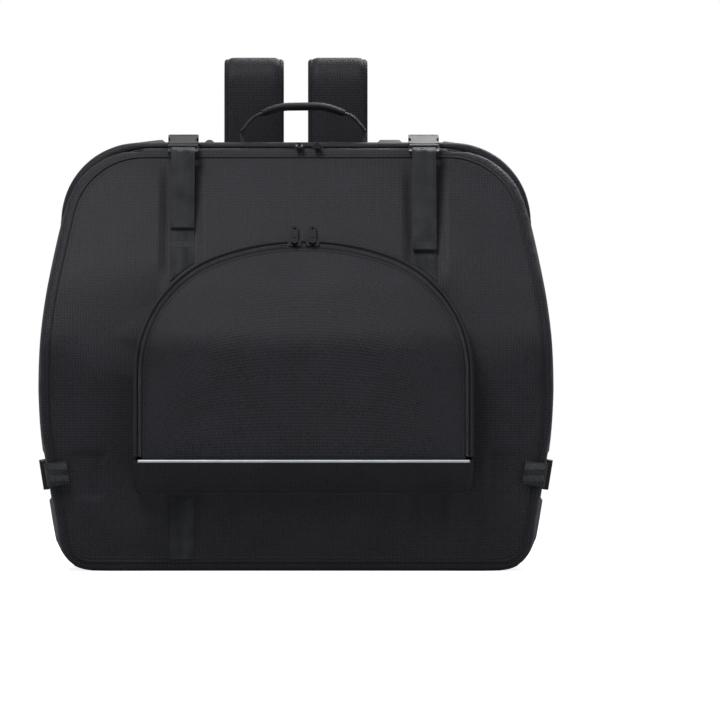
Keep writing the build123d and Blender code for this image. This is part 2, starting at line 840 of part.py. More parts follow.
def pull_height(lift):
    return lift + slider_plate + pull_thickness / 2 + pull_rise


def main_slider_plane(place):
    return Plane(origin=(slider_middle + place * slider_pitch / 2, 0, rim_height), z_dir=(0, 0, 1))


def pocket_slider_plane(place):
    """On the top of the pocket's arch, square to the pocket's face."""
    line = pocket_line()
    run, rise = line[3][0] - line[2][0], line[3][1] - line[2][1]
    size = hypot(run, rise)
    radius = fitted_radii(pocket_corners())[3]
    bow = radius / cos(atan2(pocket_peak - pocket_shoulder, pocket_half)) - radius
    height = pocket_peak - bow - pocket_tape_width - soft_gap / 2
    along = (height - line[2][1]) / rise
    origin = Vector(feature_shift + place * slider_pitch / 2, line[2][0] + along * run, height)
    return Plane(origin=origin, x_dir=(1, 0, 0), z_dir=(0, -rise / size, run / size))


def write_sliders():
    for name, place in (("left", -1), ("right", 1)):
        for zip_name, plane, lift, skirt, angle in (
            ("main", main_slider_plane(place), coil_height + soft_gap, True, main_pull_drop),
            ("pocket", pocket_slider_plane(place), soft_gap, False, pocket_pull_rest),
        ):
            write(plane * slider_solid(lift, skirt), f"{zip_name}_zip_slider_{name}")
            pull = plane * (Pos(0, 0, pull_height(lift)) * Rot(angle, 0, 0) * pull_solid())
            write(pull, f"{zip_name}_zip_pull_{name}")


os.makedirs("parts", exist_ok=True)
write_halves()
write_piping()
write_front_webbing()
write_pocket()
write_buckles()
write_tails()
write_side_webbing()
write_anchor_webbing()
write_handle()
write_shoulder_straps()
write_strap_anchors()
write_sliders()
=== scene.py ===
# %% [markdown]
# # Dressing a padded accordion case
# The CAD model gives every piece its place, its size and its joints. This lesson dresses it:
# padded walls that crown between their seams, a glossy lining, ribbed webbing, zips with real
# teeth, moulded buckles, and a plain studio. Each step says what the piece is on the real case.

# %% Load the fixed frame
import math

import bmesh
import bpy
import numpy as np
from mathutils import Matrix, Vector, noise
from mathutils.bvhtree import BVHTree


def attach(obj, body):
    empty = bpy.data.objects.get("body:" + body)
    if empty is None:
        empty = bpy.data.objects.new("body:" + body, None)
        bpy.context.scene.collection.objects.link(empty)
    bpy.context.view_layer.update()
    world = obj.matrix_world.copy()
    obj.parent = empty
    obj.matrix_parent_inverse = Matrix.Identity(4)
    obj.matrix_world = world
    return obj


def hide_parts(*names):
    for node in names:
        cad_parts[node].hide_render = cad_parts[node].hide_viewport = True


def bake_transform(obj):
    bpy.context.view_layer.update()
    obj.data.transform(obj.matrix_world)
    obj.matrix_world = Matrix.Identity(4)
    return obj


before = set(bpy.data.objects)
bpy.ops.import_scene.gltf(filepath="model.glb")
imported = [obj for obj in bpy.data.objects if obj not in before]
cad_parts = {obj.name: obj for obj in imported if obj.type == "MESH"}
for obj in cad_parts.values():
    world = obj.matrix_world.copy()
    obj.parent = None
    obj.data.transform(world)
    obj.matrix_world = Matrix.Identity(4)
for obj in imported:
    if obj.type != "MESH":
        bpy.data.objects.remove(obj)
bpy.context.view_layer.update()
scene = bpy.context.scene
mm = 0.001

# %% [markdown]
# ## The studio
# A black case on white shows its shape only by soft light on its cloth. A broad lamp above and in
# front makes the leaning upper panel lighter than the upright lower one, and a low fill keeps the
# sides readable. The world looks white to the camera and through clear things, and lights the case
# gently. Glossy rays see the gentle light too, because a white glare would turn black cloth grey.

# %% Camera
camera_distance = 8142 * mm
camera_height = 220 * mm
sensor = 36.0
seen_width = 748.8 * mm  # at the front of the case
camera_data = bpy.data.cameras.new("studio_camera")
camera = bpy.data.objects.new("studio_camera", camera_data)
scene.collection.objects.link(camera)
scene.camera = camera
camera.location = (0, -camera_distance, camera_height)
camera.rotation_euler = (math.pi / 2, 0, 0)
camera_data.sensor_width = sensor
camera_data.lens = sensor * (camera_distance - 142 * mm) / seen_width
camera_data.shift_x = 66.6 * mm / seen_width
print("lens, mm:", round(camera_data.lens, 1))

# %% A helper for colours, and one for nodes
def linear(hex_colour):
    """An sRGB hex value as the linear colour that shaders use."""
    channels = [int(hex_colour[i:i + 2], 16) / 255 for i in (1, 3, 5)]
    return [c / 12.92 if c <= 0.04045 else ((c + 0.055) / 1.055) ** 2.4 for c in channels] + [1.0]


def add_node(tree, kind, settings=None, links=None, **properties):
    """Add one node, set its sockets and properties, and link its inputs."""
    node = tree.nodes.new("ShaderNode" + kind)
    for name, value in properties.items():
        setattr(node, name, value)
    for socket, value in (settings or {}).items():
        node.inputs[socket].default_value = value
    for socket, output in (links or {}).items():
        tree.links.new(output, node.inputs[socket])
    return node


# %% Lamps, world and floor
def hang_lamp(name, place, aim, size, power):
    lamp = bpy.data.lights.new(name, "AREA")
    lamp.shape = "DISK"
    lamp.size = size
    lamp.energy = power
    holder = bpy.data.objects.new(name, lamp)
    scene.collection.objects.link(holder)
    holder.location = place
    holder.rotation_euler = (Vector(aim) - Vector(place)).to_track_quat("-Z", "Y").to_euler()


hang_lamp("key", (-0.8, -1.2, 2.6), (0, 0, 0.25), 1.2, 66)
hang_lamp("fill", (1.7, -1.6, 0.9), (0, 0, 0.25), 1.4, 8)
hang_lamp("back", (0.6, 1.6, 1.7), (0, 0, 0.3), 1.2, 30)

world = bpy.data.worlds.new("studio_world")
scene.world = world
world.use_nodes = True
tree = world.node_tree
tree.nodes.clear()
rays = add_node(tree, "LightPath")
clear = add_node(tree, "Math", {}, {0: rays.outputs["Is Camera Ray"], 1: rays.outputs["Is Transmission Ray"]},
                 operation="MAXIMUM")
soft = add_node(tree, "Background", {"Color": linear("#eef1f7"), "Strength": 0.38})
white = add_node(tree, "Background", {"Color": (1, 1, 1, 1), "Strength": 1.0})
mix = add_node(tree, "MixShader", {}, {0: clear.outputs[0], 1: soft.outputs[0], 2: white.outputs[0]})
add_node(tree, "OutputWorld", {}, {"Surface": mix.outputs[0]})
scene.view_settings.view_transform = "Standard"

floor_mesh = bmesh.new()
bmesh.ops.create_grid(floor_mesh, x_segments=1, y_segments=1, size=12)
floor_data = bpy.data.meshes.new("floor")
floor_mesh.to_mesh(floor_data)
floor_mesh.free()
floor = bpy.data.objects.new("floor", floor_data)
scene.collection.objects.link(floor)
paper = bpy.data.materials.new("white studio paper")
paper.use_nodes = True
tree = paper.node_tree
tree.nodes.clear()
rays = add_node(tree, "LightPath")
matt = add_node(tree, "BsdfDiffuse", {"Color": linear("#b9babc")})
glow = add_node(tree, "Emission", {"Color": (1, 1, 1, 1), "Strength": 0.84})
both = add_node(tree, "AddShader", {}, {0: matt.outputs[0], 1: glow.outputs[0]})
mix = add_node(tree, "MixShader", {},
               {0: rays.outputs["Is Camera Ray"], 1: matt.outputs[0], 2: both.outputs[0]})
add_node(tree, "OutputMaterial", {}, {"Surface": mix.outputs[0]})
floor_data.materials.append(paper)
print("studio: 3 lamps, a white world and a paper floor")

# %% [markdown]
# ## Cloth as a surface finish
# The shell is oxford polyester: thick yarns over and under each other, coated inside, with a dull
# sheen. The weave is two sets of bands, and a checker says which one is on top. Noise breaks them
# up, as the uneven thickness of real yarns does. The real yarns lie 0.6 mm apart, too fine for this
# view, so they are drawn at 1.4 mm. Every cloth piece carries a UV map in metres along its own
# yarns, so one scale fits all of them.

# %% Woven cloth
def woven(name, yarn, dark, light, roughness, relief, sheen, cloud=28.0):
    """Plain weave: colour by which yarn is on top, and a height for the bump."""
    cloth = bpy.data.materials.new(name)
    cloth.use_nodes = True
    tree = cloth.node_tree
    tree.nodes.clear()
    uv = add_node(tree, "UVMap", uv_map="yarns")
    bands = 2 * math.pi / 20 / (2 * yarn)
    warp = add_node(tree, "TexWave", {"Scale": bands}, {"Vector": uv.outputs[0]}, bands_direction="X")
    weft = add_node(tree, "TexWave", {"Scale": bands}, {"Vector": uv.outputs[0]}, bands_direction="Y")
    over = add_node(tree, "TexChecker", {"Scale": 1 / yarn}, {"Vector": uv.outputs[0]})
    place = add_node(tree, "TexCoord")
    fade = add_node(tree, "TexNoise", {"Scale": cloud, "Detail": 4.0}, {"Vector": place.outputs["Object"]})
    fuzz = add_node(tree, "TexNoise", {"Scale": 620.0, "Detail": 4.0}, {"Vector": place.outputs["Object"]})
    top = add_node(tree, "Mix", {}, {"Factor": over.outputs["Fac"], "A": warp.outputs["Fac"],
                                     "B": weft.outputs["Fac"]})
    faint = add_node(tree, "Math", {1: 0.4}, {0: top.outputs[0]}, operation="MULTIPLY")
    height = add_node(tree, "Math", {1: 0.9}, {0: fuzz.outputs["Fac"], 2: faint.outputs[0]},
                      operation="MULTIPLY_ADD")
    bump = add_node(tree, "Bump", {"Strength": relief, "Distance": yarn * 0.3}, {"Height": height.outputs[0]})
    tone = add_node(tree, "Math", {1: 0.3}, {0: fade.outputs["Fac"], 2: height.outputs[0]},
                    operation="MULTIPLY_ADD")
    ramp = add_node(tree, "ValToRGB", {}, {"Fac": tone.outputs[0]})
    ramp.color_ramp.elements[0].color = linear(dark)
    ramp.color_ramp.elements[0].position = 0.5
    ramp.color_ramp.elements[1].color = linear(light)
    ramp.color_ramp.elements[1].position = 1.0
    shine = add_node(tree, "MapRange", {"To Min": roughness - 0.06, "To Max": roughness + 0.06},
                     {"Value": fade.outputs["Fac"]})
    cover = add_node(tree, "BsdfPrincipled", {"Sheen Weight": sheen, "Sheen Roughness": 0.45,
                                              "Specular IOR Level": 0.22},
                     {"Base Color": ramp.outputs["Color"], "Normal": bump.outputs[0],
                      "Roughness": shine.outputs["Result"]})
    add_node(tree, "OutputMaterial", {}, {"Surface": cover.outputs[0]})
    return cloth


oxford = woven("oxford polyester", 1.4 * mm, "#040405", "#27272d", 0.62, 0.85, 0.05)
# The same oxford cloth, painted darker: painted shade, as on a gusset that faces downwards. It dresses the
# yoke, the strap tabs and the handle grip.
oxford_painted_shade = woven("oxford polyester with painted shade", 1.4 * mm, "#040405", "#222227", 0.66, 0.8, 0.04)
grosgrain = woven("grosgrain binding", 1.1 * mm, "#0a0a0c", "#1d1d21", 0.6, 0.7, 0.03)
tape_cloth = woven("polyester zip tape", 0.9 * mm, "#09090a", "#18181b", 0.7, 0.6, 0.02)
print("woven cloth:", [cloth.name for cloth in (oxford, oxford_painted_shade, grosgrain, tape_cloth)])

# %% [markdown]
# ## Webbing, lining and thread
# The straps are woven polyester webbing: ribs that slant one way and then the other, in columns a
# quarter of the strap wide, a little greener than the shell. Real ribs lie 1.3 mm apart and are
# drawn at 2.6 mm, so that they show. The lining is thin taffeta: smooth, glossy and crumpled, so
# its look comes from broad folds in the mesh and small creases in the bump.

# %% Webbing
def ribbed(name, rib, column, dark, light, roughness, relief):
    """Herringbone: slanting ribs that turn back at each column, along the strap."""
    web = bpy.data.materials.new(name)
    web.use_nodes = True
    tree = web.node_tree
    tree.nodes.clear()
    uv = add_node(tree, "UVMap", uv_map="yarns")
    split = add_node(tree, "SeparateXYZ", {}, {0: uv.outputs[0]})
    turn = add_node(tree, "Math", {1: column}, {0: split.outputs["Y"]}, operation="PINGPONG")
    slant = add_node(tree, "Math", {}, {0: split.outputs["X"], 1: turn.outputs[0]}, operation="ADD")
    phase = add_node(tree, "Math", {1: 2 * math.pi / rib}, {0: slant.outputs[0]}, operation="MULTIPLY")
    ribs = add_node(tree, "Math", {}, {0: phase.outputs[0]}, operation="SINE")
    edge = add_node(tree, "Math", {1: 2 / column}, {0: turn.outputs[0]}, operation="MULTIPLY")
    height = add_node(tree, "Math", {1: 0.5}, {0: ribs.outputs[0], 2: edge.outputs[0]},
                      operation="MULTIPLY_ADD")
    bump = add_node(tree, "Bump", {"Strength": relief, "Distance": rib * 0.35}, {"Height": height.outputs[0]})
    place = add_node(tree, "TexCoord")
    fade = add_node(tree, "TexNoise", {"Scale": 60.0, "Detail": 3.0}, {"Vector": place.outputs["Object"]})
    tone = add_node(tree, "Math", {1: 0.25}, {0: ribs.outputs[0], 2: fade.outputs["Fac"]},
                    operation="MULTIPLY_ADD")
    ramp = add_node(tree, "ValToRGB", {}, {"Fac": tone.outputs[0]})
    ramp.color_ramp.elements[0].color = linear(dark)
    ramp.color_ramp.elements[0].position = 0.2
    ramp.color_ramp.elements[1].color = linear(light)
    ramp.color_ramp.elements[1].position = 0.8
    cover = add_node(tree, "BsdfPrincipled",
                     {"Roughness": roughness, "Sheen Weight": 0.04, "Specular IOR Level": 0.3},
                     {"Base Color": ramp.outputs["Color"], "Normal": bump.outputs[0]})
    add_node(tree, "OutputMaterial", {}, {"Surface": cover.outputs[0]})
    return web


webbing = ribbed("polyester webbing", 2.6 * mm, 6.25 * mm, "#040505", "#313437", 0.55, 1.0)


# %% Lining, plastics, metal and thread
def moulded(name, colour, roughness, grain, relief, spread=0.06, **shader):
    """A smooth solid with fine grain in its bump and slow changes in its gloss."""
    stuff = bpy.data.materials.new(name)
    stuff.use_nodes = True
    tree = stuff.node_tree
    tree.nodes.clear()
    place = add_node(tree, "TexCoord")
    fine = add_node(tree, "TexNoise", {"Scale": grain, "Detail": 3.0}, {"Vector": place.outputs["Object"]})
    slow = add_node(tree, "TexNoise", {"Scale": 45.0, "Detail": 2.0}, {"Vector": place.outputs["Object"]})
    bump = add_node(tree, "Bump", {"Strength": relief, "Distance": 0.5 / grain},
                    {"Height": fine.outputs["Fac"]})
    shine = add_node(tree, "MapRange", {"To Min": roughness - spread, "To Max": roughness + spread},
                     {"Value": slow.outputs["Fac"]})
    deep = [value * 0.7 for value in linear(colour)[:3]] + [1.0]
    tone = add_node(tree, "ValToRGB", {}, {"Fac": slow.outputs["Fac"]})
    for stop, shade in zip(tone.color_ramp.elements, (deep, linear(colour))):
        stop.color = shade
    body = add_node(tree, "BsdfPrincipled", shader, {"Base Color": tone.outputs["Color"],
                                                     "Roughness": shine.outputs["Result"],
                                                     "Normal": bump.outputs[0]})
    add_node(tree, "OutputMaterial", {}, {"Surface": body.outputs[0]})
    return stuff


taffeta = moulded("nylon taffeta lining", "#0c0c0e", 0.36, 70.0, 0.35, 0.08, IOR=1.5)
acetal = moulded("moulded acetal", "#0d0f12", 0.46, 900.0, 0.08, 0.05, **{"Specular IOR Level": 0.4})
coil_nylon = moulded("nylon zip coil", "#0f0f11", 0.34, 1200.0, 0.1, 0.05, IOR=1.53)
enamel = moulded("black enamelled zinc", "#0e0e10", 0.16, 500.0, 0.04, 0.03, **{"Coat Weight": 0.6})
thread = moulded("bonded polyester thread", "#1a1a1d", 0.5, 2500.0, 0.5, 0.05, IOR=1.5)
silver = moulded("glass bead reflective tape", "#c9ccd0", 0.34, 2600.0, 0.35, 0.06, IOR=1.5, Metallic=0.35)
print("finishes:", [stuff.name for stuff in (webbing, taffeta, acetal, coil_nylon, enamel, thread, silver)])

# %% [markdown]
# ## Cut flat, then bent along a line
# Webbing, zip tape, piping and binding are all cut from a flat roll and then sewn along a line. The
# script does the same: a flat piece is made with x along its length, y across it and z through it,
# and every point is then carried to the line. The flat sizes become the UV map, so the weave never
# stretches. First comes the line itself: corners rounded to their real radii.

# %% Rounded lines
def rounded(corners, step=3 * mm):
    """Points along a run of (a, b, radius) corners, with an arc at each corner."""
    points = [Vector(corners[0][:2])]
    for before, here, after in zip(corners, corners[1:], corners[2:]):
        corner = Vector(here[:2])
        back, on = (Vector(before[:2]) - corner).normalized(), (Vector(after[:2]) - corner).normalized()
        half = back.angle(on) / 2
        if here[2] <= 0 or half > 1.56:
            points.append(corner)
            continue
        centre = corner + (back + on).normalized() * here[2] / math.sin(half)
        first, last = corner + back * here[2] / math.tan(half), corner + on * here[2] / math.tan(half)
        turns = max(4, round((math.pi - 2 * half) * here[2] / step))
        points += [centre + here[2] * (first - centre).slerp(last - centre, turn / turns)
                   for turn in range(turns + 1)]
    points.append(Vector(corners[-1][:2]))
    spots = np.array(points)
    reach = np.concatenate([[0], np.cumsum(np.linalg.norm(np.diff(spots, axis=0), axis=1))])
    even = np.linspace(0, reach[-1], max(2, round(reach[-1] / step)) + 1)
    return np.stack([np.interp(even, reach, spots[:, axis]) for axis in (0, 1)], 1)


def outline(corners):
    """The closed outline of a half, from the right side's corners, starting under its middle."""
    right = [(x * mm, z * mm, radius * mm) for x, z, radius in corners]
    left = [(-x, z, radius) for x, z, radius in reversed(right)]
    low = (0, right[0][1], 0)
    return rounded([low, *right, *left, low])


back_outline = outline([(240, 0, 34), (250.5, 150, 200), (250.5, 245, 600), (248.5, 451, 84)])
lid_outline = outline([(243, 0, 34), (267, 150, 200), (270, 245, 600), (230, 444, 84)])
rim_outline = outline([(234, 6, 34), (246, 150, 200), (246, 245, 600), (227, 442.5, 84)])
lid_profile = rounded([(-128 * mm, 0, 0), (-142 * mm, 240 * mm, 60 * mm), (-116 * mm, 300 * mm, 90 * mm),
                       (-12 * mm, 444 * mm, 0)])


def lid_face(z):
    """How far forward the front panel stands at a height."""
    return np.interp(z, lid_profile[:, 1], lid_profile[:, 0])


print("outline of the front half, mm round:", round(len(lid_outline) * 3))


# %% Guides: a line with its own along, across and up
def guide(points, up):
    spots = np.array(points, float)
    along = np.gradient(spots, axis=0)
    if np.allclose(spots[0], spots[-1]):
        along[0] = along[-1] = along[0] + along[-1]
    along /= np.linalg.norm(along, axis=1)[:, None]
    lift = np.broadcast_to(np.array(up, float), spots.shape)
    lift = lift - (lift * along).sum(1)[:, None] * along
    lift = lift / np.linalg.norm(lift, axis=1)[:, None]
    reach = np.concatenate([[0], np.cumsum(np.linalg.norm(np.diff(spots, axis=0), axis=1))])
    return {"reach": reach, "spots": spots, "along": along, "up": lift, "across": np.cross(lift, along)}


def bend(bm, line):
    """Carry a flat piece to its line: x goes along it, y across it and z up from it."""
    flat = np.array([vert.co for vert in bm.verts])
    at = {key: np.stack([np.interp(flat[:, 0], line["reach"], line[key][:, axis]) for axis in range(3)], 1)
          for key in ("spots", "across", "up")}
    placed = at["spots"] + flat[:, 1:2] * at["across"] + flat[:, 2:3] * at["up"]
    for vert, co in zip(bm.verts, placed):
        vert.co = co
    if np.allclose(line["spots"][0], line["spots"][-1]):
        bmesh.ops.remove_doubles(bm, verts=bm.verts, dist=0.1 * mm)
    bmesh.ops.recalc_face_normals(bm, faces=bm.faces)
    return bm


# %% Flat strips, round cords and rows of small shapes
def mark_yarns(bm):
    """Keep the flat x and y of each face as its UV map."""
    uv = bm.loops.layers.uv.verify()
    for face in bm.faces:
        for loop in face.loops:
            loop[uv].uv = loop.vert.co.xy
    return bm


def flat_strip(width, thickness, start, end, columns=6, step=4 * mm, crown=0.0):
    """A strip of webbing or tape with thin selvedges, lying on z = 0."""
    bm = bmesh.new()
    bmesh.ops.create_grid(bm, x_segments=max(1, round((end - start) / step)), y_segments=columns, size=0.5)
    for vert in bm.verts:
        vert.co = (start + (vert.co.x + 0.5) * (end - start), vert.co.y * width, 0)
    mark_yarns(bm)
    top = bmesh.ops.extrude_face_region(bm, geom=bm.faces[:])["geom"]
    for vert in (item for item in top if isinstance(item, bmesh.types.BMVert)):
        middle = 1 - abs(2 * vert.co.y / width) ** 6
        vert.co.z = thickness * (0.55 + 0.45 * middle) + crown * (1 - (2 * vert.co.y / width) ** 2)
    return bm


def flat_cord(radius, start, end, sides=10, step=3 * mm):
    """A round cord that lies along x: a grid rolled up and closed."""
    bm = bmesh.new()
    bmesh.ops.create_grid(bm, x_segments=max(1, round((end - start) / step)), y_segments=sides, size=0.5)
    for vert in bm.verts:
        vert.co = (start + (vert.co.x + 0.5) * (end - start), (vert.co.y + 0.5) * 2 * math.pi * radius, 0)
    mark_yarns(bm)
    for vert in bm.verts:
        turn = vert.co.y / radius
        vert.co = (vert.co.x, radius * math.cos(turn), radius * math.sin(turn))
    bmesh.ops.remove_doubles(bm, verts=bm.verts, dist=0.05 * mm)
    return bm


def spots_of(data):
    flat = np.empty(len(data.vertices) * 3)
    data.vertices.foreach_get("co", flat)
    return flat.reshape(-1, 3)


def row(shape, pitch, start, end, y=0.0, z=0.0, bm=None):
    """The same small shape again and again along x."""
    bm = bm or bmesh.new()
    count = max(1, round((end - start) / pitch))
    spots, sides = spots_of(shape), [list(face.vertices) for face in shape.polygons]
    moves = [(start + (place + 0.5) * (end - start) / count, y, z) for place in range(count)]
    many = bpy.data.meshes.new("row")
    faces = [[corner + place * len(spots) for corner in side] for place in range(count) for side in sides]
    many.from_pydata(np.concatenate([spots + move for move in moves]).tolist(), [], faces)
    bm.from_mesh(many)
    bpy.data.meshes.remove(many)
    return bm


def keep(bm, name):
    """A finished bmesh as mesh data."""
    data = bpy.data.meshes.new(name)
    bm.to_mesh(data)
    bm.free()
    return data


def lozenge(name, length, width, height):
    """One stitch or tooth: a small block with its edges taken off."""
    bm = bmesh.new()
    bmesh.ops.create_cube(bm, size=1)
    bmesh.ops.scale(bm, verts=bm.verts, vec=(length, width, height))
    bmesh.ops.bevel(bm, geom=bm.edges[:], offset=min(length, width, height) * 0.3, affect="EDGES",
                    segments=1, profile=0.5, material=-1)
    return keep(bm, name)


def piece(data, name, body, slot, *stuff):
    """An object from mesh data, with its materials and its body; its slot argument is not used."""
    if isinstance(data, bmesh.types.BMesh):
        data = keep(data, name)
    made = bpy.data.objects.new(name, data)
    scene.collection.objects.link(made)
    for finish in stuff:
        data.materials.append(finish)
    data.polygons.foreach_set("use_smooth", [True] * len(data.polygons))
    if data.uv_layers:
        data.uv_layers[0].name = "yarns"
    if body:
        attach(made, body)
    print(name, len(data.polygons), "faces")
    return made


stitch = lozenge("stitch", 2.6 * mm, 0.6 * mm, 0.5 * mm)
print("a stitch has", len(stitch.polygons), "faces")

# %% [markdown]
# ## Padded walls
# Each half is a wall of three plies sewn together: fabric, foam and lining. On the real case the
# plies are turned over each other at the seams, so the wall is one soft body with rounded edges.
# The CAD plies are joined, turned into voxels and smoothed, which melts them into one skin. Cloth
# pressure then swells it between the seams, which stay held. The lining crumples afterwards.

# %% From CAD plies to one soft skin
def merged(nodes):
    """CAD nodes as one bmesh, with the loose triangles joined."""
    bm = bmesh.new()
    for node in nodes:
        bm.from_mesh(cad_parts[node].data)
    bmesh.ops.remove_doubles(bm, verts=bm.verts, dist=0.02 * mm)
    return bm


def softened(nodes, name, voxel, rounds):
    """The nodes melted into one skin of even quads, as an object."""
    raw = bpy.data.objects.new(name, keep(merged(nodes), name + "_plies"))
    scene.collection.objects.link(raw)
    blocks = raw.modifiers.new("voxels", "REMESH")
    blocks.mode = "VOXEL"
    blocks.voxel_size = voxel
    bpy.context.view_layer.update()
    skin = bpy.data.meshes.new_from_object(raw.evaluated_get(bpy.context.evaluated_depsgraph_get()))
    raw.modifiers.clear()
    bm = bmesh.new()
    bm.from_mesh(skin)
    for _ in range(rounds):
        bmesh.ops.smooth_vert(bm, verts=bm.verts, factor=0.5,
                              use_axis_x=True, use_axis_y=True, use_axis_z=True)
    bm.to_mesh(skin)
    bm.free()
    raw.data = skin
    print(name, len(skin.vertices), "points after the voxels")
    return raw


def put_spots(data, spots):
    data.vertices.foreach_set("co", np.ascontiguousarray(spots, dtype=float).ravel())
    data.update()


# %% Cloth pressure with a limit
def swell(made, room, pressure=4.0, frames=20):
    """Blow the skin outwards; room says how far each point may move, and 0 holds it."""
    rest = spots_of(made.data)
    held = made.vertex_groups.new(name="held")
    held.add(np.flatnonzero(room <= 0).tolist(), 1.0, "REPLACE")
    cloth = made.modifiers.new("swell", "CLOTH")
    cloth.settings.quality = 3
    cloth.settings.use_pressure = True
    cloth.settings.uniform_pressure_force = pressure
    cloth.settings.effector_weights.gravity = 0
    cloth.settings.vertex_group_mass = held.name
    for moment in range(1, frames + 1):
        scene.frame_set(moment)
    view = made.evaluated_get(bpy.context.evaluated_depsgraph_get())
    move = spots_of(view.data) - rest
    made.modifiers.clear()
    made.vertex_groups.clear()
    scene.frame_set(1)
    far = np.linalg.norm(move, axis=1)
    share = np.minimum(1, np.maximum(room, 0) / np.maximum(far, 1e-9))
    put_spots(made.data, rest + move * share[:, None])
    print(made.name, "swelled by up to", round(float((far * share).max()) / mm, 1), "mm")


def nearest(spots, line):
    """How far each point is from a line of points."""
    tree = line if isinstance(line, BVHTree) else BVHTree.FromPolygons(
        [Vector(spot) for spot in line], [(place, place + 1, place) for place in range(len(line) - 1)])
    return np.array([tree.find_nearest(Vector(spot))[3] for spot in spots])


# %% Yarns for a skin, and which faces are lining
def lay_yarns(data):
    """A UV map in metres that looks straight at each face: x and z in front, y and z at the side."""
    count = len(data.polygons)
    normals = np.empty(count * 3)
    data.polygons.foreach_get("normal", normals)
    facing = np.argmax(np.abs(normals.reshape(-1, 3)), axis=1)
    sides = np.empty(count, dtype=int)
    data.polygons.foreach_get("loop_total", sides)
    corners = np.empty(len(data.loops), dtype=int)
    data.loops.foreach_get("vertex_index", corners)
    facing = np.repeat(facing, sides)
    spots = spots_of(data)[corners]
    first = np.where(facing == 0, spots[:, 1], spots[:, 0])
    second = np.where(facing == 2, spots[:, 1], spots[:, 2])
    layer = data.uv_layers.new(name="yarns")
    layer.data.foreach_set("uv", np.stack([first, second], 1).ravel())


def surface(nodes):
    return BVHTree.FromBMesh(merged(nodes))


def mark_lining(data, inside, outside):
    """Give the second material to the faces nearer to the lining than to the fabric."""
    inner, outer = surface(inside), surface(outside)
    for face in data.polygons:
        face.material_index = int(inner.find_nearest(face.center)[3] < outer.find_nearest(face.center)[3])


def crumple(made, height, width, seed):
    """Fold the lining: ridges of noise, only on its own faces."""
    spots = spots_of(made.data)
    inner = {corner for face in made.data.polygons if face.material_index for corner in face.vertices}
    outer = {corner for face in made.data.polygons if not face.material_index for corner in face.vertices}
    normals = np.array([vert.normal for vert in made.data.vertices])
    for corner in inner - outer:
        spot = Vector(spots[corner]) / width + Vector((seed, seed, 0))
        ridge = 1 - abs(noise.noise(spot + 0.6 * noise.noise_vector(spot * 0.7)))
        spots[corner] += normals[corner] * height * (ridge ** 3 - 0.5)
    put_spots(made.data, spots)


# %% The front and back shells
def shell(half, far_line, keep_flat):
    """One padded half, from its nine plies."""
    plies = [f"{half}_{part}" for part in ("panel", "gusset", "base")]
    foams = [ply + "_foam" for ply in plies]
    made = softened(plies + foams + [half + "_lining"], half + "_shell", 4 * mm, 9)
    spots = spots_of(made.data)
    from_seam = nearest(spots, far_line)
    from_rim = np.abs(spots[:, 1])
    room = np.minimum(from_seam - 6 * mm, from_rim - 20 * mm) * 0.12
    room = np.minimum(np.clip(room, 0, 3.5 * mm), keep_flat(spots))
    swell(made, room)
    spots = spots_of(made.data)
    spots[:, 2] = np.maximum(spots[:, 2], 0)
    put_spots(made.data, spots)
    mark_lining(made.data, [half + "_lining"], plies)
    crumple(made, 2.4 * mm, 34 * mm, len(half))
    lay_yarns(made.data)
    shell_piece = piece(made.data, made.name, None, "oxford_fabric", oxford, taffeta)
    bpy.data.objects.remove(made)
    shell_piece.name = half + "_shell"
    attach(shell_piece, half + "_half")
    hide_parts(*plies, *foams, half + "_lining")
    return shell_piece


def inset_line(points, inset, depth):
    """The outline, set in by some millimetres, at a depth or on a face."""
    run = np.gradient(points, axis=0)
    if np.allclose(points[0], points[-1]):
        run[0] = run[-1] = run[0] + run[-1]
    run /= np.linalg.norm(run, axis=1)[:, None]
    x, z = points[:, 0] - inset * run[:, 1], points[:, 1] + inset * run[:, 0]
    y = depth(z) if callable(depth) else np.full(len(x), depth)
    return np.stack([x, y, z], 1)


back_depth, edge_radius = 115 * mm, 16 * mm
panel_seam = 10 * mm
back_seam = inset_line(back_outline, edge_radius, back_depth)
front_seam = inset_line(lid_outline, panel_seam, lid_face)
strap_places = [(8 - 127) * mm, (8 + 127) * mm]


def front_flats(spots):
    """Cloth stays flat under the sewn webbing, in the zip's rebate, on the floor and by the buckles."""
    under_strap = np.min([np.abs(spots[:, 0] - x) for x in strap_places], axis=0) < 20 * mm
    low = spots[:, 2] < 6 * mm
    clips = (np.abs(spots[:, 0]) > 200 * mm) & (np.abs(spots[:, 2] - 100 * mm) < 24 * mm)
    return np.where(under_strap | low | clips, 0.2 * mm, 1.0)


def back_flats(spots):
    """The same round the buckles, the handle, the yoke and the strap tabs."""
    x, y, z = spots.T
    straps = (np.min([np.abs(x - place) for place in strap_places], axis=0) < 22 * mm) & (z > 400 * mm)
    handle = (np.abs(x) < 90 * mm) & (z > 420 * mm)
    yoke = (np.abs(x) < 95 * mm) & (y > 95 * mm)
    sides = (np.abs(x) > 200 * mm) & (np.abs(z - 100 * mm) < 24 * mm)
    return np.where(straps | handle | yoke | sides | (z < 6 * mm), 0.2 * mm, 1.0)


front_shell = shell("front", front_seam, front_flats)
back_shell = shell("back", back_seam, back_flats)

# %% [markdown]
# ## Lines that lie on the cloth
# Piping and stitches are sewn to the skin, so they take their place and their up direction from it:
# each point of a line goes to the nearest point of the skin. The directions are evened out along
# the line, because single faces of the skin are too restless to follow one by one.

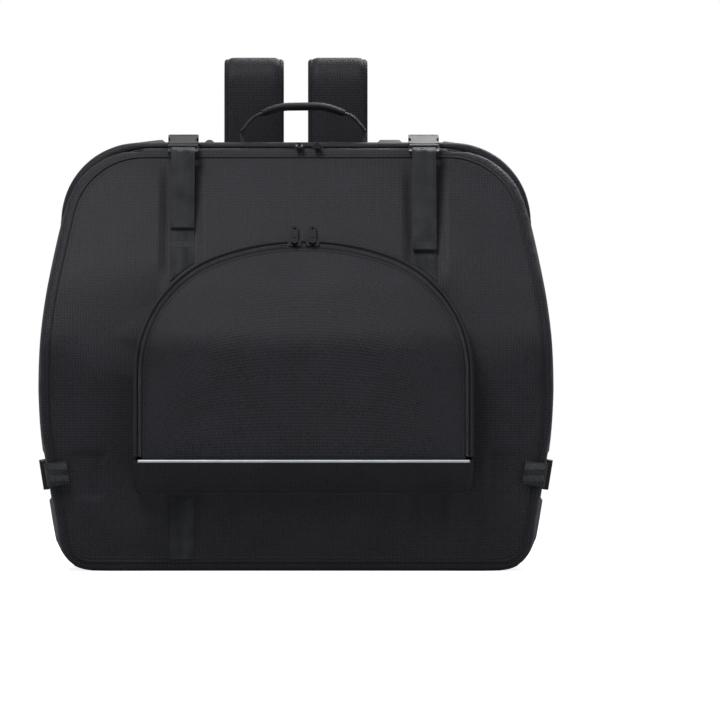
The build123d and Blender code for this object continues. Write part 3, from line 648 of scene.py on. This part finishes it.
# %% Settle a line on a skin
def settled(points, skin, lift=0.0):
    """A guide whose points lie on the skin, raised by lift, with up pointing off the cloth."""
    hits = [skin.find_nearest(Vector(point)) for point in points]
    spots = np.array([hit[0] for hit in hits])
    normals = np.array([hit[1] for hit in hits])
    closed = np.allclose(points[0], points[-1])
    for _ in range(6):
        if closed:
            even = (np.roll(normals[:-1], 1, 0) + 2 * normals[:-1] + np.roll(normals[:-1], -1, 0)) / 4
            spot = (np.roll(spots[:-1], 1, 0) + 2 * spots[:-1] + np.roll(spots[:-1], -1, 0)) / 4
            normals, spots = np.vstack([even, even[:1]]), np.vstack([spot, spot[:1]])
        else:
            normals[1:-1] = (normals[:-2] + 2 * normals[1:-1] + normals[2:]) / 4
            spots[1:-1] = (spots[:-2] + 2 * spots[1:-1] + spots[2:]) / 4
    normals /= np.linalg.norm(normals, axis=1)[:, None]
    return guide(spots + lift * normals, normals)


def skin_of(made):
    """A piece's surface to settle lines on."""
    bm = bmesh.new()
    bm.from_mesh(made.data)
    return BVHTree.FromBMesh(bm)


def length(line):
    return float(line["reach"][-1])


front_skin, back_skin = skin_of(front_shell), skin_of(back_shell)

# %% Piping round the panels
piping_radius = 1.2 * mm
seam_stitch_pitch, seam_stitch_side = 4.2 * mm, 4.5 * mm
for half, seam, skin in (("front", front_seam, front_skin), ("back", back_seam, back_skin)):
    line = settled(seam, skin, 0.3 * mm)
    cord = bend(flat_cord(piping_radius, 0, length(line)), line)
    bead = piece(cord, half + "_piping_cord", half + "_half", "binding_tape", grosgrain)
    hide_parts(half + "_piping")
    stitches = row(stitch, seam_stitch_pitch, 0, length(line), seam_stitch_side)
    row(stitch, seam_stitch_pitch, 0, length(line), -seam_stitch_side, bm=stitches)
    line = settled(seam, skin, 0.1 * mm)
    piece(bend(stitches, line), half + "_seam_stitches", half + "_half", "binding_tape", thread)

# %% [markdown]
# ## The main zip
# A coil zip runs round the mouth from base to base. Each side is a woven tape with a nylon coil
# along its edge. The coil is drawn as a row of small teeth, 2.4 mm apart, and the two rows are set
# half a pitch apart, so they mesh when the case is closed and part with their halves when it opens.

# %% Tapes and teeth
def outwards(points):
    """The direction away from the middle of an outline, in x and z, at each of its points."""
    run = np.gradient(points, axis=0)
    if np.allclose(points[0], points[-1]):
        run[0] = run[-1] = run[0] + run[-1]
    run /= np.linalg.norm(run, axis=1)[:, None]
    return np.stack([run[:, 1], np.zeros(len(run)), -run[:, 0]], 1)


tooth = lozenge("tooth", 1.3 * mm, 2.7 * mm, 1.5 * mm)
zip_end = 12 * mm  # the zip stops this far above the floor
tape_depth, tape_gap = 12 * mm, 0.4 * mm
tooth_pitch = 2.4 * mm
zipped = rim_outline[:, 1] > zip_end
mouth = rim_outline[zipped]
for half, side in (("front", -1), ("back", 1)):
    spots = inset_line(rim_outline, 0.6 * mm, side * tape_depth / 2)[zipped]
    line = guide(spots, outwards(mouth))
    tape = bend(flat_strip(tape_depth - tape_gap, 1 * mm, 0, length(line), 4), line)
    tape_piece = piece(tape, half + "_zip_tape", half + "_half", "zip_tape", tape_cloth)
    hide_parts(half + "_zip_side")
    coil_line = guide(inset_line(rim_outline, -0.9 * mm, side * 1.25 * mm)[zipped], outwards(mouth))
    start = 0 if side > 0 else tooth_pitch / 2
    teeth = row(tooth, tooth_pitch, start, length(coil_line) - tooth_pitch / 2 + start)
    teeth = bend(teeth, coil_line)
    piece(teeth, half + "_zip_coil", half + "_half", "zip_tape", coil_nylon)
    sewn = bend(row(stitch, 4 * mm, 0, length(line), -side * 3 * mm, 1.1 * mm), line)
    piece(sewn, half + "_zip_stitches", half + "_half", "zip_tape", thread)

# %% Binding over the raw edges inside the mouth
for half, side, edge in (("front", -1, lid_outline), ("back", 1, back_outline)):
    spots = inset_line(edge, 12 * mm, side * 13 * mm)[edge[:, 1] > 30 * mm]
    line = settled(spots, front_skin if side < 0 else back_skin, 0.2 * mm)
    binding = bend(flat_strip(13 * mm, 0.9 * mm, 0, length(line), 4, crown=0.5 * mm), line)
    piece(binding, half + "_inner_binding", half + "_half", "binding_tape", grosgrain)

# %% [markdown]
# ## The fold
# The halves are one piece of cloth at the base. When the case opens, the lining there has to reach
# from one wall to the other; here it is a flat strip across the base, attached to neither body.

# %% Lining across the base fold
fold_width, fold_depth, fold_height = 404 * mm, 44 * mm, 10.6 * mm
fold = bmesh.new()
bmesh.ops.create_grid(fold, x_segments=60, y_segments=24, size=0.5)
for vert in fold.verts:
    ripple = 0.5 * mm * noise.noise(Vector((vert.co.x * 14, vert.co.y * 3, 2.0)))
    vert.co = (vert.co.x * fold_width, vert.co.y * fold_depth, fold_height + ripple)
mark_yarns(fold)
bmesh.ops.solidify(fold, geom=fold.faces[:], thickness=0.7 * mm)
bmesh.ops.recalc_face_normals(fold, faces=fold.faces)
fold_piece = piece(fold, "fold_lining", None, "lining_nylon", taffeta)
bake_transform(fold_piece)

# %% [markdown]
# ## The arched pocket
# The pocket stands about 30 mm off the panel. Its gusset starts at the panel, comes forward to a
# zip, and the panel of the pocket is a flap: the zip runs over it as an arch, so it opens forward
# about its low edge. The flap follows the pocket's face line, which leans back with height.

# %% The pocket's outline and its face line
pocket_middle = 8 * mm
pocket_base, pocket_brow, pocket_front = 80 * mm, 113 * mm, -166.7 * mm
pocket_outline = rounded([(8, 80, 0), (184, 80, 12), (184, 300, 130), (8, 361, 265), (-168, 300, 130),
                          (-168, 80, 12), (8, 80, 0)], 3) * mm
pocket_profile = rounded([(pocket_front, pocket_base, 0), (pocket_front, pocket_brow, 0),
                          (-160 * mm, 240 * mm, 60 * mm), (-129 * mm, 300 * mm, 90 * mm),
                          (-79.94 * mm, 361 * mm, 0)])


def pocket_face(z):
    return np.interp(z, pocket_profile[:, 1], pocket_profile[:, 0])


def skin_depth(x, z):
    """Where the front shell's cloth is, straight behind a spot."""
    hit = front_skin.ray_cast(Vector((x, -0.4, z)), Vector((0, 1, 0)))[0]
    return hit.y if hit else lid_face(z)


zip_foot = 116.5 * mm
arch = pocket_outline[pocket_outline[:, 1] > zip_foot]
print("the arch has", len(arch), "points, its crown at", round(arch[:, 1].max() / mm), "mm")


# %% A wall between lines of points
def run_of(line):
    """How far along a line each of its points is."""
    return np.concatenate([[0], np.cumsum(np.linalg.norm(np.diff(line, axis=0), axis=1))])


def wall(lines):
    """Quads between lines of points that run side by side, with the flat sizes as UV map."""
    bm = bmesh.new()
    grid = [[bm.verts.new(spot) for spot in line] for line in lines]
    uv = bm.loops.layers.uv.verify()
    long = [run_of(line) for line in lines]
    steps = [np.linalg.norm(after - before, axis=1).mean() for before, after in zip(lines, lines[1:])]
    deep = np.concatenate([[0], np.cumsum(steps)])
    for level, (low, high) in enumerate(zip(grid, grid[1:])):
        for spot in range(len(low) - 1):
            face = bm.faces.new((low[spot], low[spot + 1], high[spot + 1], high[spot]))
            marks = [(long[level][spot], deep[level]), (long[level][spot + 1], deep[level]),
                     (long[level][spot + 1], deep[level + 1]), (long[level][spot], deep[level + 1])]
            for loop, mark in zip(face.loops, marks):
                loop[uv].uv = mark
    return bm


# %% Side walls, from the panel out to the zip
wall_low = 80.4 * mm
side_walls = pocket_outline[pocket_outline[:, 1] > wall_low]
foot = np.array([[x, skin_depth(x, z) + 1.5 * mm, z] for x, z in side_walls])
rise = np.clip((side_walls[:, 1] - pocket_base) / (pocket_brow - pocket_base), 0, 1)[:, None]
brow = np.stack([side_walls[:, 0], pocket_face(side_walls[:, 1]) + 1.2 * mm, side_walls[:, 1]], 1)
brow = foot + (brow - foot) * rise
levels = []
for share in np.linspace(0, 1, 9):
    sag = math.sin(math.pi * share) * 1.2 * mm * rise
    levels.append(foot + (brow - foot) * share - sag * outwards(side_walls))
gusset = wall(levels)
print("side walls:", len(gusset.faces), "faces")

# %% The apron under the pocket, from the panel up to the brow
apron_columns = 71
apron_levels = []
for z in np.linspace(wall_low, pocket_brow, 9):
    right, left = (np.interp(z, *side[np.argsort(side[:, 1])].T[::-1])
                   for side in (side_walls[:20], side_walls[-20:]))
    x = np.linspace(left, right, apron_columns)
    panel = np.array([skin_depth(spot, z) for spot in x])
    y = panel + (pocket_front - panel) * (z - wall_low) / (pocket_brow - wall_low)
    apron_levels.append(np.stack([x, y, np.full(apron_columns, z)], 1))
apron_levels.append(apron_levels[-1] + (0, 1.2 * mm, 3.4 * mm))
gusset.from_mesh(keep(wall(apron_levels), "apron"))
bmesh.ops.recalc_face_normals(gusset, faces=gusset.faces)
bmesh.ops.solidify(gusset, geom=gusset.faces[:], thickness=1.4 * mm)
bmesh.ops.recalc_face_normals(gusset, faces=gusset.faces)
gusset_piece = piece(gusset, "pocket_wall", "front_half", "oxford_fabric", oxford)
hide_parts("pocket_gusset")

# %% Piping cord, zip tape and coil along the arch
arch_normals = np.stack([np.zeros(len(arch)), -np.ones(len(arch)), np.full(len(arch), 0.35)], 1)


def arch_line(inset, lift):
    """A line inside the arch, on the pocket's face."""
    return guide(inset_line(arch, inset, lambda z: pocket_face(z) - lift), arch_normals)


bead_radius = 2.1 * mm
edge_line = arch_line(1.4 * mm, 0.2 * mm)
bead = bend(flat_cord(bead_radius, 0, length(edge_line), 12), edge_line)
piece(bead, "pocket_piping", "front_half", "binding_tape", grosgrain)

# %% The thread wrapped round the piping cord
wrap_pitch, wrap_turn = 2.3 * mm, 2.6
wrap = bmesh.new()
bmesh.ops.create_cube(wrap, size=1)
bmesh.ops.subdivide_edges(wrap, edges=[edge for edge in wrap.edges
                                       if abs(edge.verts[0].co.y - edge.verts[1].co.y) > 0.5], cuts=5)
for vert in wrap.verts:
    turn = vert.co.y * wrap_turn
    out = (2.25 + 0.35 * vert.co.z) * mm
    vert.co = (vert.co.x * 0.55 * mm + vert.co.y * 1.5 * mm, out * math.sin(turn), out * math.cos(turn))
wrap = keep(wrap, "wrap")
wraps = bend(row(wrap, wrap_pitch, 1 * mm, length(edge_line) - 1 * mm), edge_line)
piece(wraps, "pocket_piping_wrap", "front_half", "binding_tape", thread)

# %% The pocket's zip tape and its two coils
pocket_pitch = 2 * mm
tape_line = arch_line(4.4 * mm, -1.2 * mm)
arch_tape = piece(bend(flat_strip(4.6 * mm, 0.9 * mm, 0, length(tape_line), 3), tape_line),
                  "pocket_zip_tape", "front_half", "zip_tape", tape_cloth)
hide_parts("pocket_zip_side")
coils = (("pocket_outer_coil", 5.2 * mm, "front_half", 0),
         ("pocket_inner_coil", 6.8 * mm, "pocket_flap", pocket_pitch / 2))
for name, inset, body, start in coils:
    coil_line = arch_line(inset, -0.2 * mm)
    teeth = row(tooth, pocket_pitch, start, length(coil_line) - pocket_pitch / 2 + start)
    piece(bend(teeth, coil_line), name, body, "zip_tape", coil_nylon)

# %% [markdown]
# The flap is one padded panel under the arch. Its columns lie closer together near the sides, where
# the arch is steep, and each column ends on the arch. It crowns between its hems, but stays flat
# under the zip's pulls, which lie on it when they hang down.

# %% How high each column of the flap reaches
flap_foot = 116.8 * mm
hem = inset_line(arch, 8.2 * mm, 0)
right_hem = hem[hem[:, 0] >= pocket_middle]
widest = right_hem[:, 0].max()
fan = np.linspace(-1.45, 1.45, 91)
flap_x = pocket_middle + np.sin(fan) / math.sin(fan[-1]) * (widest - pocket_middle)
by_side = right_hem[:, 0] > widest - 0.05 * mm
upper = right_hem[np.argmax(by_side):]
upper = upper[upper[:, 2] >= right_hem[by_side][:, 2].max()]
upper = upper[np.argsort(upper[:, 0])]
flap_top = np.interp(np.abs(flap_x - pocket_middle) + pocket_middle, upper[:, 0], upper[:, 2])
print("the flap reaches", round(flap_top.max() / mm), "mm")

# %% The flap
flap_crown, flap_thickness, pulls_reach = 2.2, 2.4 * mm, 30 * mm
flap_levels = []
for share in np.linspace(0, 1, 61):
    z = flap_foot + (flap_top - flap_foot) * share
    full = (1 - np.abs(np.sin(fan)) ** 10) * (1 - abs(2 * share - 1) ** 10)
    soft = [0.9 * noise.noise(Vector((x * 9, level * 9, 5))) for x, level in zip(flap_x, z)]
    high = np.clip((z - 290 * mm) / (25 * mm), 0, 1)
    by_pulls = np.exp(-((flap_x - pocket_middle) / pulls_reach) ** 2) * high
    y = pocket_face(z) + 0.6 * mm - full * (1 - by_pulls) * (flap_crown + np.array(soft)) * mm
    flap_levels.append(np.stack([flap_x, y, z], 1))
flap = wall(flap_levels)
bmesh.ops.recalc_face_normals(flap, faces=flap.faces)
bmesh.ops.solidify(flap, geom=flap.faces[:], thickness=flap_thickness)
bmesh.ops.recalc_face_normals(flap, faces=flap.faces)
flap_piece = piece(flap, "pocket_panel", "pocket_flap", "oxford_fabric", oxford)
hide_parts("pocket_flap")

# %% The flap's stitches and its side of the zip
seam_line = arch_line(10.4 * mm, 1.0 * mm)
piece(bend(row(stitch, 4 * mm, 0, length(seam_line)), seam_line), "pocket_panel_stitches",
      "pocket_flap", "binding_tape", thread)
inner_tape = arch_line(8.4 * mm, -1.1 * mm)
flap_tape = piece(bend(flat_strip(3 * mm, 0.8 * mm, 0, length(inner_tape), 3), inner_tape),
                  "flap_zip_tape", "pocket_flap", "zip_tape", tape_cloth)
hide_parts("flap_zip_side")

# %% [markdown]
# A reflective cord is sewn in along the brow, where the apron meets the flap. Its skin is full of
# glass beads, so it looks like dull silver.

# %% Reflective cord along the low edge of the pocket
cord_line = guide([(x, -165.7 * mm, 114.9 * mm) for x in np.linspace(-164, 180, 60) * mm], (0, -1, 0))
shine = piece(bend(flat_cord(1.6 * mm, 0, length(cord_line), 12), cord_line), "reflective_cord",
              "front_half", "reflective_cord", silver)
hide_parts("reflective_piping")

# %% [markdown]
# ## Webbing
# Most of the webbing lies where its CAD strip lies, so it keeps that strip's shape: the flat sides
# are merged back into single faces, the selvedges are rounded, and a UV map is laid along the strap
# so that the herringbone runs the right way on every bend. Pairs of stitch rows cross the two front straps
# and the hems of their two tails.

# %% Straps from their CAD strips
def dressed(node, name, body, slot, *stuff, along=(1, 2, 1), round_off=0.4 * mm):
    """A CAD strip with rounded edges; along says which axis its yarns follow on each facing."""
    bm = merged([node])
    bmesh.ops.dissolve_limit(bm, angle_limit=0.03, verts=bm.verts, edges=bm.edges)
    sharp = [edge for edge in bm.edges if len(edge.link_faces) == 2 and edge.calc_face_angle() > 0.7]
    bmesh.ops.bevel(bm, geom=sharp, offset=round_off, affect="EDGES", segments=2, profile=0.5, material=-1,
                    clamp_overlap=True)
    bmesh.ops.triangulate(bm, faces=[face for face in bm.faces if len(face.verts) > 4])
    bmesh.ops.recalc_face_normals(bm, faces=bm.faces)
    data = keep(bm, name)
    layer = data.uv_layers.new(name="yarns")
    for face in data.polygons:
        facing = max(range(3), key=lambda axis: abs(face.normal[axis]))
        first = along[facing]
        second = next(axis for axis in (0, 2, 1) if axis not in (facing, first))
        for loop in face.loop_indices:
            spot = data.vertices[data.loops[loop].vertex_index].co
            layer.data[loop].uv = (spot[first], spot[second])
    made = piece(data, name, body, slot, *stuff)
    data.polygons.foreach_set("use_smooth", [False] * len(data.polygons))
    data.set_sharp_from_angle(angle=0.6)
    data.polygons.foreach_set("use_smooth", [True] * len(data.polygons))
    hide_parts(node)
    return made


upright, level = (2, 2, 1), (1, 0, 1)
dressed("front_webbing", "sewn_front_straps", "front_half", "webbing", webbing, along=upright)
dressed("left_tail", "left_strap_end", "front_half", "webbing", webbing, along=upright)
dressed("right_tail", "right_strap_end", "front_half", "webbing", webbing, along=upright)
dressed("side_webbing", "side_straps", "front_half", "webbing", webbing, along=level)
dressed("anchor_webbing", "socket_straps", "back_half", "webbing", webbing, along=level)
dressed("strap_anchors", "yoke_and_tabs", "back_half", "strap_fabric", oxford_painted_shade, along=upright)
for side in ("left", "right"):
    dressed(f"{side}_strap_webbing", f"{side}_lower_strap", f"{side}_lower_webbing", "webbing", webbing,
            along=upright)

# %% Hems at the free ends, and stitched ends
tail_stand_off, hem_length, stitch_height = 4.5 * mm, 17 * mm, 338 * mm
across_ends = []
for name, x, end in (("left", strap_places[0], 357 * mm), ("right", strap_places[1], 334 * mm)):
    y = lid_face(end) - tail_stand_off
    lean = Vector((0, lid_face(end + 20 * mm) - lid_face(end), 20 * mm)).normalized()
    out = Vector((1, 0, 0)).cross(lean)
    out = out if out.y < 0 else -out
    start = Vector((x, y, end + 0.6 * mm)) + out * 0.7 * mm
    line = guide([start + lean * reach * mm for reach in range(0, 20)], out)
    hem = bend(flat_strip(25.2 * mm, 1.5 * mm, 0, hem_length, 8, 2 * mm), line)
    piece(hem, f"{name}_strap_hem", "front_half", "webbing", webbing)
    across_ends.append((start + lean * 13.5 * mm + out * 1.5 * mm, out))
for x in strap_places:
    spot = Vector((x, lid_face(stitch_height) - 1.5 * mm, stitch_height))
    across_ends.append((spot, Vector((0, -0.82, 0.57))))
rows = bmesh.new()
for spot, out in across_ends:
    for lower in (0, 3 * mm):
        low = spot - Vector((0, 0, 1)) * lower
        line = guide([low + Vector((reach * mm, 0, 0)) for reach in range(-11, 12)], out)
        flat = bend(row(stitch, 3 * mm, 0, 22 * mm), line)
        rows.from_mesh(keep(flat, "across"))
piece(rows, "strap_bar_tacks", "front_half", "webbing", thread)

# %% [markdown]
# ## Carry handle
# The handle is a webbing strap that stands up in an arch between its two anchors, with a cloth grip
# sewn round its middle. It swings about the line through its feet, so it is made round that line.

# %% Handle arch and grip
handle_foot, handle_depth = 462.4 * mm, 42 * mm
arch_spots = rounded([(-57 * mm, handle_foot, 0), (-44 * mm, 478 * mm, 26 * mm),
                      (-16 * mm, 488 * mm, 60 * mm), (30 * mm, 488.5 * mm, 60 * mm),
                      (60 * mm, 478 * mm, 26 * mm), (73 * mm, handle_foot, 0)], 2 * mm)
handle_line = guide([(x, handle_depth, z) for x, z in arch_spots], -outwards(arch_spots))
band = bend(flat_strip(26 * mm, 3.2 * mm, 0, length(handle_line), 8, 2 * mm), handle_line)
handle = piece(band, "handle_band", "carry_handle", "webbing", webbing)
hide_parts("carry_handle")
grip_start, grip_end = 0.2 * length(handle_line), 0.8 * length(handle_line)
grip = flat_cord(1.0, grip_start, grip_end, 20, 2 * mm)
for vert in grip.verts:
    reach = (vert.co.x - grip_start) / (grip_end - grip_start)
    full = 0.75 + 0.25 * max(0, math.sin(math.pi * reach)) ** 0.3
    vert.co.y, vert.co.z = vert.co.y * 13.6 * mm, vert.co.z * 4.4 * mm * full + 1.4 * mm
piece(bend(grip, handle_line), "handle_grip", "carry_handle", "oxford_fabric", oxford_painted_shade)

# %% Stitches across both ends of the grip
edges = bmesh.new()
for end in (grip_start + 3 * mm, grip_end - 3 * mm):
    for y in range(-11, 12, 3):
        edges.from_mesh(stitch)
        edges.verts.ensure_lookup_table()
        fresh = edges.verts[-len(stitch.vertices):]
        bmesh.ops.rotate(edges, verts=fresh, cent=(0, 0, 0), matrix=Matrix.Rotation(math.pi / 2, 3, "Z"))
        bmesh.ops.translate(edges, verts=fresh, vec=(end, y * mm, 5.1 * mm))
piece(bend(edges, handle_line), "handle_stitches", "carry_handle", "webbing", thread)

# %% [markdown]
# ## Shoulder straps
# Each pad is a strip of foam in cloth, with its two long edges bound in grosgrain. It rises from the
# yoke, turns over above the case and hangs down the back to its three-bar adjuster.

# %% The middle line of a pad, from the side
strap_side = rounded([(123.8, 427, 0), (123.8, 540.5, 22), (169.8, 540.5, 22), (166.8, 310, 300),
                      (157, 200.8, 0)], 3) * mm
pad_tangent = np.gradient(strap_side, axis=0)
pad_tangent /= np.linalg.norm(pad_tangent, axis=1)[:, None]
pad_up = np.stack([np.zeros(len(strap_side)), -pad_tangent[:, 1], pad_tangent[:, 0]], 1)
pad_half, edge_pinch = 31 * mm, 7 * mm
near_line = BVHTree.FromPolygons([Vector((0, y, z)) for y, z in strap_side],
                                 [(place, place + 1, place) for place in range(len(strap_side) - 1)])
print("a pad is", round(float(run_of(strap_side)[-1]) / mm), "mm long")


# %% Pads and their bound edges
for side, middle in (("left", -45 * mm), ("right", 45 * mm)):
    pad = softened([f"{side}_shoulder_pad"], f"{side}_pad", 3.4 * mm, 5)
    spots = spots_of(pad.data)
    inside = pad_half - np.abs(spots[:, 0] - middle)
    clear = (spots[:, 2] > 440 * mm) | (spots[:, 1] > 140 * mm)
    swell(pad, np.where(clear, np.clip((inside - 4 * mm) * 0.14, 0, 2.6 * mm), 0), 4.0, 20)
    spots = spots_of(pad.data)
    edge = np.clip(1 - (pad_half - np.abs(spots[:, 0] - middle)) / edge_pinch, 0, 1)
    for place in np.flatnonzero(edge > 0):
        flat = Vector((0, spots[place, 1], spots[place, 2]))
        middle_spot = near_line.find_nearest(flat)[0]
        pulled = flat.lerp(middle_spot, 0.55 * edge[place])
        spots[place, 1], spots[place, 2] = pulled.y, pulled.z
    put_spots(pad.data, spots)
    lay_yarns(pad.data)
    pad_piece = piece(pad.data, f"{side}_pad_cover", f"{side}_shoulder_strap", "strap_fabric", oxford)
    bpy.data.objects.remove(pad)
    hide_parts(f"{side}_shoulder_pad")
    for edge_side in (-1, 1):
        x = middle + edge_side * 28.6 * mm
        line = guide([(x, y, z) for y, z in strap_side], pad_up)
        cord = flat_cord(1.0, 0, length(line), 12, 3 * mm)
        for vert in cord.verts:
            vert.co.y, vert.co.z = vert.co.y * 3.4 * mm, vert.co.z * 3.6 * mm
        piece(bend(cord, line), f"{side}_pad_binding_{'outer' if edge_side * middle > 0 else 'inner'}",
              f"{side}_shoulder_strap", "binding_tape", grosgrain)

# %% [markdown]
# ## Hardware
# Buckles, adjusters, sliders and pulls have the right shape in the CAD model already, so they only
# get their finish: the buckles are moulded acetal, and the sliders and pulls are enamelled zinc.

# %% Plastic and metal parts keep their CAD shape
hard = {"socket": acetal, "clip": acetal, "prong": acetal, "adjuster": acetal,
        "slider": enamel, "pull": enamel}
for name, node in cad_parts.items():
    finish = next((stuff for word, stuff in hard.items() if word in name), None)
    if finish:
        for slot in node.material_slots:
            slot.material = finish
print("hardware finished")
